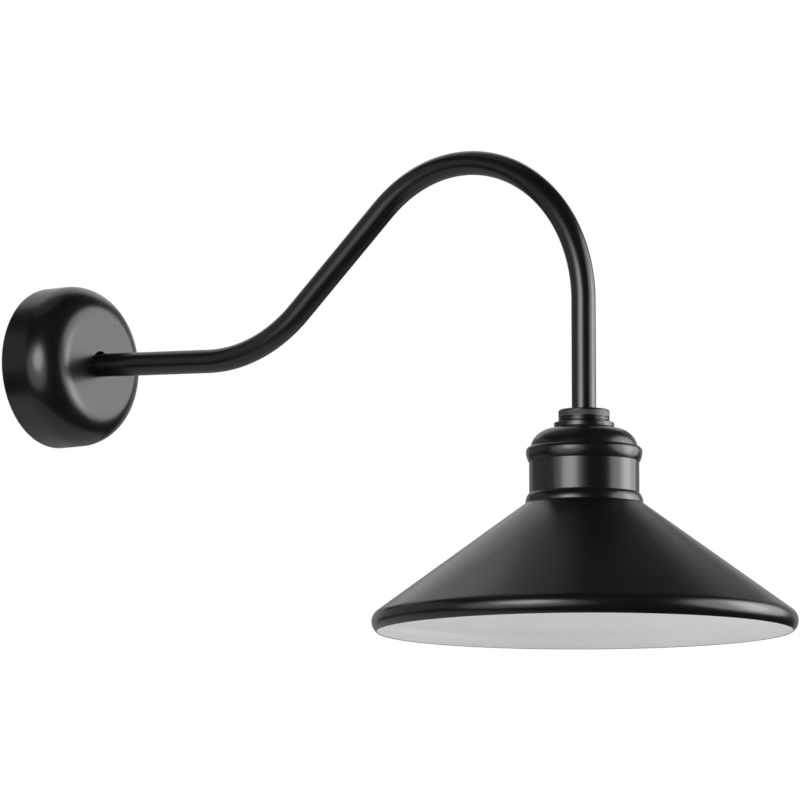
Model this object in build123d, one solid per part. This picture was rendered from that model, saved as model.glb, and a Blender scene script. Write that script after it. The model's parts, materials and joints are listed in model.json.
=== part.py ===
from build123d import *
import math
import os

# Outdoor wall lantern: a gooseneck arm carries a cone shade away from a round wall canopy.
# Millimetres. The wall is the plane y = 0, the lantern stands out of it towards -Y, and +Z is up.
# The origin is the centre of the canopy on the wall. "Out" is a distance from the wall, and "height"
# at the shade is measured up from the lip of the shade.

# Driving dimensions: the whole lantern
REACH = 540.0  # wall to shade axis
LIP_Z = -246.0  # lip of the shade below the canopy's centre
SHADE_D = 330.0  # widest part of the rolled rim

# Arm: 3/4 inch tube, square to the wall, a slight dip, a bend up, a ramp and a bend straight down
TUBE_R = 9.5
TUBE_BORE = 8.0
ARM_FOOT = 14.0  # out, where the tube stands on the mounting plate
DIP_START = 20.0
DIP_LENGTH = 20.0
DIP_ANGLE = 2.8
LOW_BEND_R = 132.0
RAMP_ANGLE = 41.2
RAMP_LENGTH = 114.0
TOP_BEND_R = 118.5
ARM_END = 169.8  # height, just inside the lock ring
WIRE_HOLE_OUT = 25.0
WIRE_HOLE = (13.0, 9.0)  # across the tube, along the tube

# Threaded nipples, nuts and washers (16 mm thread)
THREAD_R = 7.9
NIPPLE_BORE = 5.5
NIPPLE_GRIP = 8.0  # length held inside the tube
NIPPLE_PROUD = 1.0  # its end past the nut at the wall
NUT_FLATS = 24.0
NUT_T = 5.0
NUT_BEVEL = 0.5  # height over width of the bevel on a nut's corners
WASHER_T = 1.0
WASHER_R = 12.5
WASHER_NOTCHES = 8
WASHER_NOTCH = (4.0, 1.6)  # along and across the radius's line
THREAD_GAP = 0.1
HOLE_GAP = 0.4
HEAD_ROUND = 0.45  # round of a screw's head, as a share of its thickness
DRIVER_SLOT = 0.3  # slot in a screw's head, as a share of its radius
RIGHT_THROUGH = 3  # a cutter this many times a radius or thickness reaches past both sides

# Canopy and its gasket
CANOPY_R = 65.5
CANOPY_DEPTH = 51.0
CANOPY_ROUND = 28.0
CANOPY_SHEET = 1.0
CANOPY_HOLE_R = 10.6
GASKET_T = 1.5
GASKET_R = (56.0, 65.2)

# Mounting plate: a strap dished off the wall, with an upright that ends in two bent tabs
PLATE_T = 2.0
PLATE_OUT = 12.0  # out, back of the raised middle
STRAP_WIDTH = 26.0
STRAP_FLAT = 22.0  # half length of the raised middle
STRAP_FOOT = 28.5  # where the feet begin
STRAP_END = 53.0
SLOT_SPACING = 79.4
SLOT_LENGTH = 16.0
SLOT_WIDTH = 4.8
UPRIGHT_WIDTH = 16.0
TAB_Z = 63.8
TAB_WIDTH = 14.0
TAB_END = 25.0  # out, front edge of the tabs
SET_SCREW_OUT = 19.5
SET_SCREW_R = 1.95
SET_SCREW_LENGTH = 8.0
SET_SCREW_HEX = (1.0, 2.0)  # half width and depth of its key socket
SET_SCREW_SINK = 0.2
SET_SCREW_HOLE_GAP = 0.3
GROUND_SCREW_Z = 32.0
GROUND_HEAD = (4.0, 2.4)  # radius and thickness
GROUND_LENGTH = 6.0

# Terminal block in the canopy and the two leads
LEAD_R = 1.2
LEAD_X = 4.0  # each lead keeps this far from the middle
LEAD_OUT = 24.0
LEAD_BEND = 8.0
LEAD_TURN = 3.7  # turn under the nipple, above the socket
BLOCK = (20.0, 18.0, 18.0)  # wide, deep, tall
BLOCK_TOP = -26.0
BLOCK_SCREW_R = 1.9
BLOCK_SCREW_LEVELS = (0.25, 0.75)  # down from the top, as a share of its height
BLOCK_EDGE = 1.0
BLOCK_SLOT = (0.6, 0.6)  # width and depth of a driver slot
LEAD_IN_BLOCK = 4.0

# Shade end: heights above the lip
RING_H = (163.1, 172.2)
RING_R = 19.9
RING_SEAT_H = 165.1
RING_SEAT_R = 10.0
RING_EDGE = 1.0  # bevel at the top
RING_FOOT = (0.5, 0.6)  # inset and height of the foot under the lip
GROOVE_H = (165.1, 166.0)
GROOVE_DEPTH = 0.5
GROOVE_SLOPE = 0.3
WASHER_H = (158.3, 163.1)
FLANGE_R = 23.4
FLANGE_EDGE = 0.4  # bevel at the foot
FLANGE_RIM_T = 3.4
FLANGE_STEP = (0.5, 0.4)  # inset and rise where its slope begins
FLANGE_TOP_INSET = 0.2  # its slope ends just inside the ring
CAP_H = 157.5
CAP_WALL = 1.5
CAP_ROUND = 17.5
CAP_ROUND_C = (24.5, 140.0)
CAP_CREASE_H = 143.2
BEAD_R = 45.15
BEAD_MID_H = 139.6  # where it is widest
BEAD_END_H = 132.0
CAP_SKIRT_R = 42.9
CAP_SKIRT_T = 0.4
CAP_GASKET_R = 22.5

# Shade: spun sheet with a flange, neck, shoulder, cone and rolled rim
SHEET = 1.0
FLANGE_BORE = 27.0
SEAT_H = 139.8
NECK_R = 42.7
NECK_ROUND = 2.5
SHOULDER_C = (34.2, 99.8)  # centre of the shoulder's round
SHOULDER_ROUND = 11.4
CONE_NORMAL = 54.0  # degrees the cone's outside faces up
RIM_ROUND = 9.6
RIM_H = 7.77

# Clamp disc, socket strap and socket, hung under the cap
DISC_R = 40.0
DISC_T = 1.5
STRAP_T = 1.2
STRAP_LEG_X = 19.5
STRAP_LEG_H = 100.0
SOCKET_STRAP_WIDTH = 26.0
NIPPLE_END_H = 129.0
SOCKET_H = (85.0, 124.0)
SOCKET_R = 21.0
SOCKET_FOOT_EDGE = 1.5
SOCKET_TOP_EDGE = 2.0
WELL_R = 14.3
WELL_EDGE = 1.0
WELL_TOP_H = 113.5
RECESS_R = 8.5
RECESS_TOP_H = 118.0
SHELL_BORE = 13.25
SHELL_R = 14.2
SHELL_MOUTH_H = 87.0
SHELL_FLANGE_BORE = 9.0
SHELL_FLANGE_T = 1.0
SOCKET_SCREW_H = 106.0
SCREW_R = 1.9
STRAP_HEAD = (3.4, 1.8)  # radius and thickness
STRAP_SCREW_GRIP = 3.6
TERMINAL_HEAD = (3.2, 1.6)
TERMINAL_GRIP = 4.5
SCREW_HOLE = 5.0  # depth of a screw's hole in the porcelain
TERMINAL_OFFSET = 11.0
CONTACT_PIVOT = (-5.8, 116.7)
CONTACT_TIP = (3.8, 114.5)
CONTACT_T = 0.6
CONTACT_BARREL_R = 0.7
CONTACT_WIDTH = 5.0
RIVET_R = 1.3
RIVET_HEAD_R = 2.3
RIVET_HEAD_T = 0.8
RIVET_SINK = 1.2

# Flat of the arm, with local (out, z), and a section through the shade, with local (radius, height)
SIDE = Plane(origin=(0, 0, 0), x_dir=(0, -1, 0), z_dir=(-1, 0, 0))
SECTION = Plane(origin=(0, -REACH, LIP_Z), x_dir=(1, 0, 0), z_dir=(0, -1, 0))
SHADE_AXIS = Axis((0, -REACH, 0), (0, 0, 1))
AT_LIP = Pos(0, -REACH, LIP_Z)
FACING_OUT = Rot(90, 0, 0)  # turns an upright piece so that its top faces out of the wall


def save(node, *solids):
    """Write one node, made of one solid or of several separate ones."""
    shape = solids[0] if len(solids) == 1 else Compound(children=list(solids))
    export_step(shape, f"parts/{node}.step")
    print(node, round(sum(solid.volume for solid in solids), 1), "mm3")


def turned(points, plane=SECTION, axis=SHADE_AXIS):
    """Revolve a straight-sided section."""
    return revolve(plane * make_face(Polyline(*points, close=True)), axis)


def ring(bore, radius, low, high):
    """A plain ring about the shade axis."""
    return turned([(bore, low), (radius, low), (radius, high), (bore, high)])


def polar(centre, radius, angle):
    return (
        centre[0] + radius * math.cos(math.radians(angle)),
        centre[1] + radius * math.sin(math.radians(angle)),
    )


# Arm line: straight runs and tangent arcs, worked out from the reach
DIP = math.radians(DIP_ANGLE)
RAMP = math.radians(RAMP_ANGLE)
DIP_R = DIP_LENGTH / DIP
DIP_MID = DIP_START + DIP_R * math.tan(DIP / 2)  # where the dipped run's line starts from z = 0
DIP_END = DIP_START + DIP_R * math.sin(DIP)
BENDS_OUT = (
    LOW_BEND_R * (math.sin(RAMP) + math.sin(DIP))
    + RAMP_LENGTH * math.cos(RAMP)
    + TOP_BEND_R * (math.sin(RAMP) + 1)
)
LOW_BEND_OUT = REACH - BENDS_OUT  # where the bend up begins
LOW_BEND_Z = -(LOW_BEND_OUT - DIP_MID) * math.tan(DIP)
DROP_Z = (
    LOW_BEND_Z
    + LOW_BEND_R * (math.cos(DIP) - math.cos(RAMP))
    + RAMP_LENGTH * math.sin(RAMP)
    - TOP_BEND_R * math.cos(RAMP)
)  # where the tube starts straight down
SWAN_MOVES = [
    (LOW_BEND_R, RAMP_ANGLE + DIP_ANGLE),
    (RAMP_LENGTH, 0),
    (TOP_BEND_R, -90 - RAMP_ANGLE),
]


def bent_line(start, heading, moves):
    """Straight runs and tangent arcs: a move is a length and 0, or a radius and a turn in degrees."""
    edges = []
    point = Vector(*start)
    for size, turn in moves:
        if turn:
            edges.append(JernArc(point, Vector(1, 0).rotate(Axis.Z, heading), size, turn))
        else:
            edges.append(PolarLine(point, size, heading))
        heading += turn
        point = edges[-1] @ 1
    return Wire(edges)


def gooseneck_arm():
    """The bent tube, with a hole under its foot where the leads come out inside the canopy."""
    moves = [
        (DIP_START - ARM_FOOT, 0),
        (DIP_R, -DIP_ANGLE),
        ((LOW_BEND_OUT - DIP_END) / math.cos(DIP), 0),
        *SWAN_MOVES,
        (DROP_Z - LIP_Z - ARM_END, 0),
    ]
    path = SIDE * bent_line((ARM_FOOT, 0), 0, moves)
    tube = sweep((path ^ 0) * (Circle(TUBE_R) - Circle(TUBE_BORE)), path)
    hole = Pos(0, -WIRE_HOLE_OUT, -TUBE_R) * extrude(SlotOverall(*WIRE_HOLE), TUBE_R)
    return tube - hole


def lead(x, far_end):
    """One lead: up from the block, through the arm, down the nipple and out to its terminal."""
    rise_end = LEAD_OUT + LEAD_BEND * (1 + math.sin(DIP))
    rise_z = -(rise_end - DIP_MID) * math.tan(DIP) - LEAD_BEND * math.cos(DIP)
    start_z = BLOCK_TOP - LEAD_IN_BLOCK
    turn_z = LIP_Z + SOCKET_H[1] + LEAD_R + THREAD_GAP
    moves = [
        (rise_z - start_z, 0),
        (LEAD_BEND, -90 - DIP_ANGLE),
        ((LOW_BEND_OUT - rise_end) / math.cos(DIP), 0),
        *SWAN_MOVES,
        (DROP_Z - turn_z - LEAD_TURN, 0),
        (LEAD_TURN, 90 * far_end),
        (TERMINAL_OFFSET - SCREW_R - THREAD_GAP - LEAD_TURN, 0),
    ]
    path = Pos(x, 0, 0) * (SIDE * bent_line((LEAD_OUT, start_z), 90, moves))
    print("lead length", round(path.length, 1))
    return sweep((path ^ 0) * Circle(LEAD_R), path)


# Threaded hardware, made standing on z = 0
def tube_piece(bore, radius, length):
    return extrude(Circle(radius) - Circle(bore), length)


def hex_nut():
    hexagon = extrude(RegularPolygon(NUT_FLATS / 2, 6, major_radius=False), NUT_T)
    corner = NUT_FLATS / 2 / math.cos(math.pi / 6)
    blank = extrude(Circle(corner), NUT_T)
    bevel = corner - NUT_FLATS / 2
    blank = chamfer(blank.edges(), bevel * NUT_BEVEL, bevel)
    return (hexagon & blank) - extrude(Circle(THREAD_R + THREAD_GAP), NUT_T)


def lock_washer():
    blank = Circle(WASHER_R) - Circle(THREAD_R + HOLE_GAP)
    notches = PolarLocations(WASHER_R, WASHER_NOTCHES) * Rectangle(*WASHER_NOTCH)
    return extrude(blank - notches, WASHER_T)


def pan_screw(head_r, head_t, shank_r, length):
    """A screw with its head standing on z = 0 and its shank going down."""
    head = extrude(Circle(head_r), head_t)
    head = fillet(head.edges().sort_by(Axis.Z)[-1], head_t * HEAD_ROUND)
    slot = Pos(0, 0, head_t) * Box(head_r * RIGHT_THROUGH, head_r * DRIVER_SLOT, head_t)
    return head - slot + Pos(0, 0, -length) * extrude(Circle(shank_r), length)


# Wall end
def canopy():
    """A deep-drawn cup with a large front round, a hole for the arm and two side holes."""
    inside = CANOPY_R - CANOPY_SHEET
    back = CANOPY_DEPTH - CANOPY_SHEET
    points = [
        (GASKET_T, CANOPY_R),
        (CANOPY_DEPTH, CANOPY_R),
        (CANOPY_DEPTH, CANOPY_HOLE_R),
        (back, CANOPY_HOLE_R),
        (back, inside),
        (GASKET_T, inside),
    ]
    face = make_face(Polyline(*points, close=True))
    far = face.vertices().group_by(Axis.X)[-1].sort_by(Axis.Y)[-1]
    face = fillet(far, CANOPY_ROUND)
    near = face.vertices().sort_by_distance((back, inside))[0]
    face = fillet(near, CANOPY_ROUND - CANOPY_SHEET)
    cup = revolve(SIDE * face, Axis.Y)
    return cup - set_screw_line(SET_SCREW_R + SET_SCREW_HOLE_GAP)


def set_screw_line(radius):
    """An upright bar through both set screws."""
    return Pos(0, -SET_SCREW_OUT, 0) * Cylinder(radius, CANOPY_R * RIGHT_THROUGH)


def wall_gasket():
    return FACING_OUT * tube_piece(*GASKET_R, GASKET_T)


def mounting_plate():
    """A stamped cross: dished strap with two slots, upright with two bent tabs, and a centre hole."""
    front = -PLATE_OUT - PLATE_T
    half_top = [(STRAP_FLAT, front), (STRAP_FOOT + PLATE_T, -PLATE_T), (STRAP_END, -PLATE_T)]
    half_under = [(STRAP_END, 0), (STRAP_FOOT, 0), (STRAP_FLAT - PLATE_T, -PLATE_OUT)]
    half = half_top + half_under
    outline = half + [(-x, y) for x, y in reversed(half)]
    strap = extrude(make_face(Polyline(*outline, close=True)), STRAP_WIDTH / 2, both=True)
    upright = Pos(0, -PLATE_OUT - PLATE_T / 2, 0) * Box(UPRIGHT_WIDTH, PLATE_T, 2 * TAB_Z)
    plate = strap + upright
    tab_depth = TAB_END - PLATE_OUT
    for side in (1, -1):
        tab = Box(TAB_WIDTH, tab_depth, PLATE_T)
        plate += Pos(0, -PLATE_OUT - tab_depth / 2, side * (TAB_Z - PLATE_T / 2)) * tab
        slot = extrude(SlotOverall(SLOT_LENGTH, SLOT_WIDTH), PLATE_T * RIGHT_THROUGH, both=True)
        plate -= Pos(side * SLOT_SPACING / 2, 0, 0) * FACING_OUT * slot
    plate -= hole_out(THREAD_R + THREAD_GAP)
    plate -= Pos(0, 0, GROUND_SCREW_Z) * hole_out(SCREW_R + THREAD_GAP)
    return plate - set_screw_line(SET_SCREW_R + THREAD_GAP)


def hole_out(radius):
    """A cutter square to the wall, long enough for the mounting plate."""
    return FACING_OUT * extrude(Circle(radius), 2 * ARM_FOOT)


def canopy_set_screws():
    """Two socket set screws, flush with the canopy's side at its top and bottom."""
    body = extrude(Circle(SET_SCREW_R), SET_SCREW_LENGTH)
    half, deep = SET_SCREW_HEX
    socket = Pos(0, 0, SET_SCREW_LENGTH - deep) * extrude(RegularPolygon(half, 6, major_radius=False), deep)
    upper = Pos(0, -SET_SCREW_OUT, CANOPY_R - SET_SCREW_SINK - SET_SCREW_LENGTH) * (body - socket)
    return upper, upper.rotate(Axis.Y, 180)


def terminal_block():
    """A moulded two-way block with a lead hole, a supply hole and two screw wells for each way."""
    wide, deep, tall = BLOCK
    block = Pos(0, -ARM_FOOT - deep / 2, BLOCK_TOP - tall / 2) * Box(wide, deep, tall)
    block = chamfer(block.edges().group_by(Axis.Y)[0], BLOCK_EDGE)
    for x in (-LEAD_X, LEAD_X):
        through = extrude(Circle(LEAD_R + HOLE_GAP), tall)
        block -= Pos(x, -LEAD_OUT, BLOCK_TOP - tall) * through
        for z in block_screw_levels():
            well = extrude(Circle(BLOCK_SCREW_R + HOLE_GAP), -(ARM_FOOT + deep - LEAD_OUT))
            block -= Pos(x, -ARM_FOOT - deep, z) * FACING_OUT * well
    return block


def block_screw_levels():
    return [BLOCK_TOP - BLOCK[2] * share for share in BLOCK_SCREW_LEVELS]


def block_screws():
    depth = ARM_FOOT + BLOCK[1] - LEAD_OUT - LEAD_R - HOLE_GAP
    screw = extrude(Circle(BLOCK_SCREW_R), -depth)
    screw -= Box(BLOCK_SCREW_R * RIGHT_THROUGH, BLOCK_SLOT[0], 2 * BLOCK_SLOT[1])
    front = -ARM_FOOT - BLOCK[1]
    return [Pos(x, front, z) * FACING_OUT * screw for x in (-LEAD_X, LEAD_X) for z in block_screw_levels()]


# Shade end
def lock_ring():
    """The hand ring: a grip band, a groove and a lip outside, a seat for the tube and a thread inside."""
    low, high = RING_H
    foot = RING_R - RING_FOOT[0]
    lip_low = low + RING_FOOT[1]
    groove = RING_R - GROOVE_DEPTH
    points = [
        (THREAD_R + THREAD_GAP, low),
        (foot, low),
        (foot, lip_low),
        (RING_R, lip_low + GROOVE_SLOPE),
        (RING_R, GROOVE_H[0]),
        (groove, GROOVE_H[0] + GROOVE_SLOPE),
        (groove, GROOVE_H[1] - GROOVE_SLOPE),
        (RING_R, GROOVE_H[1]),
        (RING_R, high - RING_EDGE),
        (RING_R - RING_EDGE, high),
        (RING_SEAT_R, high),
        (RING_SEAT_R, RING_SEAT_H),
        (THREAD_R + THREAD_GAP, RING_SEAT_H),
    ]
    return turned(points)


def flange_washer():
    low, high = WASHER_H
    rim_top = low + FLANGE_RIM_T
    points = [
        (THREAD_R + HOLE_GAP, low),
        (FLANGE_R - FLANGE_EDGE, low),
        (FLANGE_R, low + FLANGE_EDGE),
        (FLANGE_R, rim_top),
        (FLANGE_R - FLANGE_STEP[0], rim_top + FLANGE_STEP[1]),
        (RING_R - FLANGE_TOP_INSET, high),
        (THREAD_R + HOLE_GAP, high),
    ]
    return turned(points)


def neck_cap():
    """A cast dome with a bead round its skirt; a step inside seats the shade's flange."""
    bore = THREAD_R + HOLE_GAP
    crease_angle = math.degrees(math.asin((CAP_CREASE_H - CAP_ROUND_C[1]) / CAP_ROUND))
    crease = polar(CAP_ROUND_C, CAP_ROUND, crease_angle)
    widest = (BEAD_R, BEAD_MID_H)
    bead_end = (CAP_SKIRT_R + CAP_SKIRT_T, BEAD_END_H)
    inner_round = CAP_ROUND - CAP_WALL
    dome_foot = polar(CAP_ROUND_C, inner_round, 0)
    edges = [
        Line((bore, CAP_H), (CAP_ROUND_C[0], CAP_H)),
        CenterArc(CAP_ROUND_C, CAP_ROUND, crease_angle, 90 - crease_angle),
        TangentArc(widest, crease, tangent=(0, 1)),
        TangentArc(widest, bead_end, tangent=(0, -1)),
        Polyline(bead_end, (CAP_SKIRT_R, BEAD_END_H), (CAP_SKIRT_R, SEAT_H), (dome_foot[0], SEAT_H)),
        Line((dome_foot[0], SEAT_H), dome_foot),
        CenterArc(CAP_ROUND_C, inner_round, 0, 90),
        Polyline((CAP_ROUND_C[0], CAP_H - CAP_WALL), (bore, CAP_H - CAP_WALL), (bore, CAP_H)),
    ]
    return revolve(SECTION * make_face(edges), SHADE_AXIS)


RIM_C = (SHADE_D / 2 - RIM_ROUND, RIM_H)
CONE = math.radians(CONE_NORMAL)
CONE_UP = (math.cos(CONE), math.sin(CONE))  # the way the cone's outside faces, as (radius, height)


def along_cone_normal(point):
    return point[0] * CONE_UP[0] + point[1] * CONE_UP[1]


def shade_skin(depth):
    """The line of the sheet at a depth below its outside, from the flange to the lip."""
    flange = SEAT_H - depth
    corner = (NECK_R - NECK_ROUND, SEAT_H - NECK_ROUND)
    neck = NECK_R - depth
    shoulder = SHOULDER_ROUND - depth
    rim = polar(RIM_C, RIM_ROUND - depth, CONE_NORMAL)
    crease_angle = math.degrees(math.acos((neck - SHOULDER_C[0]) / shoulder))
    to_cone = along_cone_normal(rim) - along_cone_normal(SHOULDER_C)
    foot_angle = CONE_NORMAL - math.degrees(math.acos(to_cone / shoulder))
    crease = polar(SHOULDER_C, shoulder, crease_angle)
    foot = polar(SHOULDER_C, shoulder, foot_angle)
    return [
        Line((FLANGE_BORE, flange), (corner[0], flange)),
        CenterArc(corner, NECK_ROUND - depth, 0, 90),
        Line((neck, corner[1]), crease),
        CenterArc(SHOULDER_C, shoulder, foot_angle, crease_angle - foot_angle),
        Line(foot, rim),
        CenterArc(RIM_C, RIM_ROUND - depth, -CONE_NORMAL, 2 * CONE_NORMAL),
    ]


def shade():
    """Spun steel: flange under the cap, straight neck, shoulder, wide cone and a rim rolled inwards."""
    ends = [
        Line((FLANGE_BORE, SEAT_H), (FLANGE_BORE, SEAT_H - SHEET)),
        Line(polar(RIM_C, RIM_ROUND, -CONE_NORMAL), polar(RIM_C, RIM_ROUND - SHEET, -CONE_NORMAL)),
    ]
    return revolve(SECTION * make_face(shade_skin(0) + shade_skin(SHEET) + ends), SHADE_AXIS)


# Stack under the cap: disc, strap, washer, nut
DISC_TOP_H = SEAT_H - SHEET
STRAP_TOP_H = DISC_TOP_H - DISC_T
STACK_WASHER_H = STRAP_TOP_H - STRAP_T - WASHER_T
STACK_NUT_H = STACK_WASHER_H - NUT_T


def socket_strap():
    """A bent strip: its middle is clamped on the nipple and its legs hold the socket by two flats."""
    outer = STRAP_LEG_X + STRAP_T
    under = STRAP_TOP_H - STRAP_T
    right = [(outer, STRAP_TOP_H), (outer, STRAP_LEG_H), (STRAP_LEG_X, STRAP_LEG_H), (STRAP_LEG_X, under)]
    outline = right + [(-x, h) for x, h in reversed(right)]
    bent = extrude(SECTION * make_face(Polyline(*outline, close=True)), SOCKET_STRAP_WIDTH / 2, both=True)
    bent -= AT_LIP * extrude(Circle(THREAD_R + HOLE_GAP), SEAT_H)
    return bent - socket_screw_line(SCREW_R + HOLE_GAP, 2 * SOCKET_R)


def socket_screw_line(radius, length):
    """A round bar across the socket, through both of its side screws."""
    return AT_LIP * Pos(0, 0, SOCKET_SCREW_H) * Rot(0, 90, 0) * Cylinder(radius, length)


def terminal_places():
    """Each lead's terminal: the hot one towards the wall and the neutral one away from it."""
    return [(LEAD_X, TERMINAL_OFFSET), (-LEAD_X, -TERMINAL_OFFSET)]


def socket_body():
    """The porcelain: a round block with two flats, a stepped well below and terminal holes on top."""
    low, high = SOCKET_H
    points = [
        (0, RECESS_TOP_H),
        (RECESS_R, RECESS_TOP_H),
        (RECESS_R, WELL_TOP_H),
        (WELL_R, WELL_TOP_H),
        (WELL_R, low + WELL_EDGE),
        (WELL_R + WELL_EDGE, low),
        (SOCKET_R - SOCKET_FOOT_EDGE, low),
        (SOCKET_R, low + SOCKET_FOOT_EDGE),
        (SOCKET_R, high - SOCKET_TOP_EDGE),
        (SOCKET_R - SOCKET_TOP_EDGE, high),
        (0, high),
    ]
    body = turned(points)
    between_flats = Box(2 * STRAP_LEG_X, SOCKET_R * RIGHT_THROUGH, 2 * SOCKET_R)
    body = body & AT_LIP * Pos(0, 0, (low + high) / 2) * between_flats
    core = socket_screw_line(SCREW_R + THREAD_GAP, 2 * (STRAP_LEG_X - SCREW_HOLE))
    body -= socket_screw_line(SCREW_R + THREAD_GAP, 2 * SOCKET_R) - core
    for x, y in terminal_places():
        body -= AT_LIP * Pos(x, y, high - SCREW_HOLE) * extrude(Circle(SCREW_R + THREAD_GAP), SCREW_HOLE)
    at_rivet = AT_LIP * Pos(CONTACT_PIVOT[0], 0, 0)
    body -= at_rivet * Pos(0, 0, RECESS_TOP_H) * extrude(Circle(RIVET_R + THREAD_GAP), high - RECESS_TOP_H)
    head_well = extrude(Circle(RIVET_HEAD_R + THREAD_GAP), RIVET_SINK)
    return body - at_rivet * Pos(0, 0, high - RIVET_SINK) * head_well


def screw_shell():
    points = [
        (SHELL_BORE, SHELL_MOUTH_H),
        (SHELL_R, SHELL_MOUTH_H),
        (SHELL_R, WELL_TOP_H),
        (SHELL_FLANGE_BORE, WELL_TOP_H),
        (SHELL_FLANGE_BORE, WELL_TOP_H - SHELL_FLANGE_T),
        (SHELL_BORE, WELL_TOP_H - SHELL_FLANGE_T),
    ]
    return turned(points)


def centre_contact():
    """A brass tongue: a curl at its root and a sprung strip that slopes down to the lamp's tip."""
    start = Vector(*CONTACT_PIVOT)
    along = (Vector(*CONTACT_TIP) - start).normalized()
    middle = (start + Vector(*CONTACT_TIP)) / 2
    length = (Vector(*CONTACT_TIP) - start).length
    angle = math.degrees(math.atan2(along.Y, along.X))
    strip = Pos(middle.X, middle.Y) * Rot(0, 0, angle) * Rectangle(length, CONTACT_T)
    curl = Pos(*CONTACT_PIVOT) * Circle(CONTACT_BARREL_R)
    tip = Pos(*CONTACT_TIP) * Circle(CONTACT_T)
    return extrude(SECTION * (strip + curl + tip), CONTACT_WIDTH / 2, both=True)


def contact_rivet():
    """The rivet that hangs the tongue and brings the hot side through the porcelain."""
    foot = CONTACT_PIVOT[1] + CONTACT_BARREL_R + THREAD_GAP
    head_h = SOCKET_H[1] - RIVET_SINK
    shank = Pos(0, 0, foot) * extrude(Circle(RIVET_R), head_h - foot)
    head = Pos(0, 0, head_h) * extrude(Circle(RIVET_HEAD_R), RIVET_HEAD_T)
    return AT_LIP * Pos(CONTACT_PIVOT[0], 0, 0) * (shank + head)


def socket_screws():
    screw = pan_screw(*STRAP_HEAD, SCREW_R, STRAP_T + STRAP_SCREW_GRIP)
    place = Pos(STRAP_LEG_X + STRAP_T, 0, SOCKET_SCREW_H) * Rot(0, 90, 0) * screw
    return [AT_LIP * place, AT_LIP * Rot(0, 0, 180) * place]


def socket_terminals():
    head_h = SOCKET_H[1] + 2 * LEAD_R + 2 * THREAD_GAP
    screw = pan_screw(*TERMINAL_HEAD, SCREW_R, head_h - SOCKET_H[1] + TERMINAL_GRIP)
    return [AT_LIP * Pos(x, y, head_h) * screw for x, y in terminal_places()]


os.makedirs("parts", exist_ok=True)

# Wall end
save("canopy", canopy())
save("wall_gasket", wall_gasket())
save("mounting_plate", mounting_plate())
save("canopy_set_screws", *canopy_set_screws())
GROUND_SCREW = pan_screw(*GROUND_HEAD, SCREW_R, GROUND_LENGTH)
save("ground_screw", Pos(0, -ARM_FOOT, GROUND_SCREW_Z) * FACING_OUT * GROUND_SCREW)
save("terminal_block", terminal_block())
save("block_screws", *block_screws())

# Arm, nipples and the hardware that clamps both of its ends
WALL_WASHER_OUT = PLATE_OUT - WASHER_T
WALL_NUT_OUT = WALL_WASHER_OUT - NUT_T
WALL_NIPPLE_OUT = WALL_NUT_OUT - NIPPLE_PROUD
save("gooseneck_arm", gooseneck_arm())
WALL_NIPPLE_LENGTH = ARM_FOOT + NIPPLE_GRIP - WALL_NIPPLE_OUT
WALL_NIPPLE = tube_piece(NIPPLE_BORE, THREAD_R, WALL_NIPPLE_LENGTH)
save("wall_nipple", Pos(0, -WALL_NIPPLE_OUT, 0) * FACING_OUT * WALL_NIPPLE)
SHADE_NIPPLE_LENGTH = ARM_END + NIPPLE_GRIP - NIPPLE_END_H
SHADE_NIPPLE = tube_piece(NIPPLE_BORE, THREAD_R, SHADE_NIPPLE_LENGTH)
save("shade_nipple", AT_LIP * Pos(0, 0, NIPPLE_END_H) * SHADE_NIPPLE)
save(
    "lock_washers",
    Pos(0, -WALL_WASHER_OUT, 0) * FACING_OUT * lock_washer(),
    AT_LIP * Pos(0, 0, STACK_WASHER_H) * lock_washer(),
)
save(
    "hex_nuts",
    Pos(0, -WALL_NUT_OUT, 0) * FACING_OUT * hex_nut(),
    AT_LIP * Pos(0, 0, STACK_NUT_H) * hex_nut(),
)
save("hot_lead", lead(LEAD_X, -1))
save("neutral_lead", lead(-LEAD_X, 1))

# Shade end
save("lock_ring", lock_ring())
save("flange_washer", flange_washer())
save("cap_gasket", ring(THREAD_R + HOLE_GAP, CAP_GASKET_R, CAP_H, WASHER_H[0]))
save("neck_cap", neck_cap())
save("shade", shade())
save("clamp_disc", ring(THREAD_R + HOLE_GAP, DISC_R, STRAP_TOP_H, DISC_TOP_H))
save("socket_strap", socket_strap())
save("socket_body", socket_body())
save("screw_shell", screw_shell())
save("centre_contact", centre_contact())
save("contact_rivet", contact_rivet())
save("socket_screws", *socket_screws())
save("socket_terminals", *socket_terminals())
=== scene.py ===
# %% [markdown]
# # A gooseneck wall lantern
# The lantern is a bent tube that stands out of a round wall canopy and carries a wide cone shade, satin
# black outside and white inside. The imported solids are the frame: they are in metres, the wall is the
# plane y = 0, the lantern stands out towards -Y, and +Z is up. Every piece made here goes where a solid is.

# %% Load the frame
import json
from math import acos, atan2, ceil, cos, degrees, pi, radians, sin, tan, tau

import bmesh
import bpy
from mathutils import Matrix, Vector


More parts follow.
